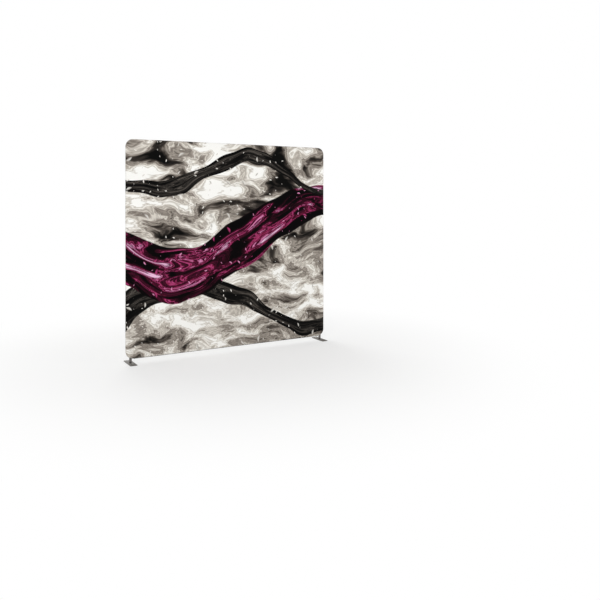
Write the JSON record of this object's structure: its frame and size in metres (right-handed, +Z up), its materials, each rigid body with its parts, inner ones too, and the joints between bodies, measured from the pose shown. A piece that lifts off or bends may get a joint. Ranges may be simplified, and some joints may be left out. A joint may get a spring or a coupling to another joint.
{
  "type": "fabric backwall",
  "caption": "Free-standing straight fabric backwall: a zipped stretch cover over a plug-together tube frame with rounded corners, on flat steel feet that swivel.",
  "frame": {"origin": "on the floor, under the middle of the wall, in the wall's mid-plane", "axes": "+X along the wall, to the right as seen from the front; +Y from the printed front to the back; +Z up"},
  "size_m": [2.47, 0.25, 2.36],
  "materials": {
    "anodised_aluminium": "satin clear anodised",
    "black_nylon": "moulded, fine texture",
    "spring_steel": "bright rolled strip",
    "plated_steel": "zinc plated",
    "powder_coated_steel": "warm grey satin powder coat",
    "black_rubber": "matt",
    "printed_polyester": "dye-sublimated knit, matt",
    "plain_polyester": "white knit, matt",
    "zip_tape": "woven tape with coil teeth",
    "nickel_plated_zinc": "die cast, nickel plated"
  },
  "bodies": {
    "covered_frame": {"top_left_tube": "anodised_aluminium", "top_right_tube": "anodised_aluminium", "bottom_left_tube": "anodised_aluminium", "bottom_right_tube": "anodised_aluminium", "left_upper_tube": "anodised_aluminium", "left_lower_tube": "anodised_aluminium", "right_upper_tube": "anodised_aluminium", "right_lower_tube": "anodised_aluminium", "centre_upper_tube": "anodised_aluminium", "centre_lower_tube": "anodised_aluminium", "top_tee": "black_nylon", "bottom_tee": "black_nylon", "left_top_sleeve": "anodised_aluminium", "left_middle_sleeve": "anodised_aluminium", "left_bottom_sleeve": "anodised_aluminium", "right_top_sleeve": "anodised_aluminium", "right_middle_sleeve": "anodised_aluminium", "right_bottom_sleeve": "anodised_aluminium", "centre_middle_sleeve": "anodised_aluminium", "left_foot_socket": "anodised_aluminium", "right_foot_socket": "anodised_aluminium", "left_top_spring": "spring_steel", "left_middle_spring": "spring_steel", "left_bottom_spring": "spring_steel", "right_top_spring": "spring_steel", "right_middle_spring": "spring_steel", "right_bottom_spring": "spring_steel", "centre_top_spring": "spring_steel", "centre_middle_spring": "spring_steel", "centre_bottom_spring": "spring_steel", "top_rail_spring": "spring_steel", "bottom_rail_spring": "spring_steel", "front_panel": "printed_polyester", "back_panel": "plain_polyester", "zip_front_half": "zip_tape", "zip_back_half": "zip_tape"},
    "left_foot": {"left_foot_plate": "powder_coated_steel", "left_foot_post": "anodised_aluminium", "left_foot_bolt": "plated_steel", "left_front_pad": "black_rubber", "left_back_pad": "black_rubber"},
    "right_foot": {"right_foot_plate": "powder_coated_steel", "right_foot_post": "anodised_aluminium", "right_foot_bolt": "plated_steel", "right_front_pad": "black_rubber", "right_back_pad": "black_rubber"},
    "left_top_snap": {"left_top_button": "plated_steel"},
    "left_middle_snap": {"left_middle_button": "plated_steel"},
    "left_bottom_snap": {"left_bottom_button": "plated_steel"},
    "right_top_snap": {"right_top_button": "plated_steel"},
    "right_middle_snap": {"right_middle_button": "plated_steel"},
    "right_bottom_snap": {"right_bottom_button": "plated_steel"},
    "centre_top_snap": {"centre_top_button": "plated_steel"},
    "centre_middle_snap": {"centre_middle_button": "plated_steel"},
    "centre_bottom_snap": {"centre_bottom_button": "plated_steel"},
    "top_rail_snap": {"top_rail_button": "plated_steel"},
    "bottom_rail_snap": {"bottom_rail_button": "plated_steel"},
    "slider": {"zip_slider": "nickel_plated_zinc"},
    "pull": {"zip_pull": "nickel_plated_zinc"}
  },
  "joints": [
    {"name": "left_foot_swivel", "type": "hinge", "parent": "covered_frame", "child": "left_foot", "pos_m": [-1.181, 0, 0.044], "axis": [0, 0, 1], "range_deg": [-90, 90]},
    {"name": "right_foot_swivel", "type": "hinge", "parent": "covered_frame", "child": "right_foot", "pos_m": [1.181, 0, 0.044], "axis": [0, 0, 1], "range_deg": [-90, 90]},
    {"name": "zip_slide", "type": "slide", "parent": "covered_frame", "child": "slider", "axis": [-1, 0, 0], "range_m": [0, 2.26]},
    {"name": "zip_pull_swing", "type": "hinge", "parent": "slider", "child": "pull", "pos_m": [1.1305, 0, 0.0436], "axis": [0, 1, 0], "range_deg": [-85, 85]},
    {"name": "left_top_button_press", "type": "slide", "parent": "covered_frame", "child": "left_top_snap", "axis": [-1, 0, 0], "range_m": [0, 0.005], "stiffness_N_per_m": 1000, "springref_m": -0.002, "deforming": ["left_top_spring"]},
    {"name": "left_middle_button_press", "type": "slide", "parent": "covered_frame", "child": "left_middle_snap", "axis": [-1, 0, 0], "range_m": [0, 0.005], "stiffness_N_per_m": 1000, "springref_m": -0.002, "deforming": ["left_middle_spring"]},
    {"name": "left_bottom_button_press", "type": "slide", "parent": "covered_frame", "child": "left_bottom_snap", "axis": [-1, 0, 0], "range_m": [0, 0.005], "stiffness_N_per_m": 1000, "springref_m": -0.002, "deforming": ["left_bottom_spring"]},
    {"name": "right_top_button_press", "type": "slide", "parent": "covered_frame", "child": "right_top_snap", "axis": [1, 0, 0], "range_m": [0, 0.005], "stiffness_N_per_m": 1000, "springref_m": -0.002, "deforming": ["right_top_spring"]},
    {"name": "right_middle_button_press", "type": "slide", "parent": "covered_frame", "child": "right_middle_snap", "axis": [1, 0, 0], "range_m": [0, 0.005], "stiffness_N_per_m": 1000, "springref_m": -0.002, "deforming": ["right_middle_spring"]},
    {"name": "right_bottom_button_press", "type": "slide", "parent": "covered_frame", "child": "right_bottom_snap", "axis": [1, 0, 0], "range_m": [0, 0.005], "stiffness_N_per_m": 1000, "springref_m": -0.002, "deforming": ["right_bottom_spring"]},
    {"name": "centre_top_button_press", "type": "slide", "parent": "covered_frame", "child": "centre_top_snap", "axis": [-1, 0, 0], "range_m": [0, 0.005], "stiffness_N_per_m": 1000, "springref_m": -0.002, "deforming": ["centre_top_spring"]},
    {"name": "centre_middle_button_press", "type": "slide", "parent": "covered_frame", "child": "centre_middle_snap", "axis": [-1, 0, 0], "range_m": [0, 0.005], "stiffness_N_per_m": 1000, "springref_m": -0.002, "deforming": ["centre_middle_spring"]},
    {"name": "centre_bottom_button_press", "type": "slide", "parent": "covered_frame", "child": "centre_bottom_snap", "axis": [-1, 0, 0], "range_m": [0, 0.005], "stiffness_N_per_m": 1000, "springref_m": -0.002, "deforming": ["centre_bottom_spring"]},
    {"name": "top_rail_button_press", "type": "slide", "parent": "covered_frame", "child": "top_rail_snap", "axis": [0, 0, 1], "range_m": [0, 0.005], "stiffness_N_per_m": 1000, "springref_m": -0.002, "deforming": ["top_rail_spring"]},
    {"name": "bottom_rail_button_press", "type": "slide", "parent": "covered_frame", "child": "bottom_rail_snap", "axis": [0, 0, -1], "range_m": [0, 0.005], "stiffness_N_per_m": 1000, "springref_m": -0.002, "deforming": ["bottom_rail_spring"]}
  ]
}
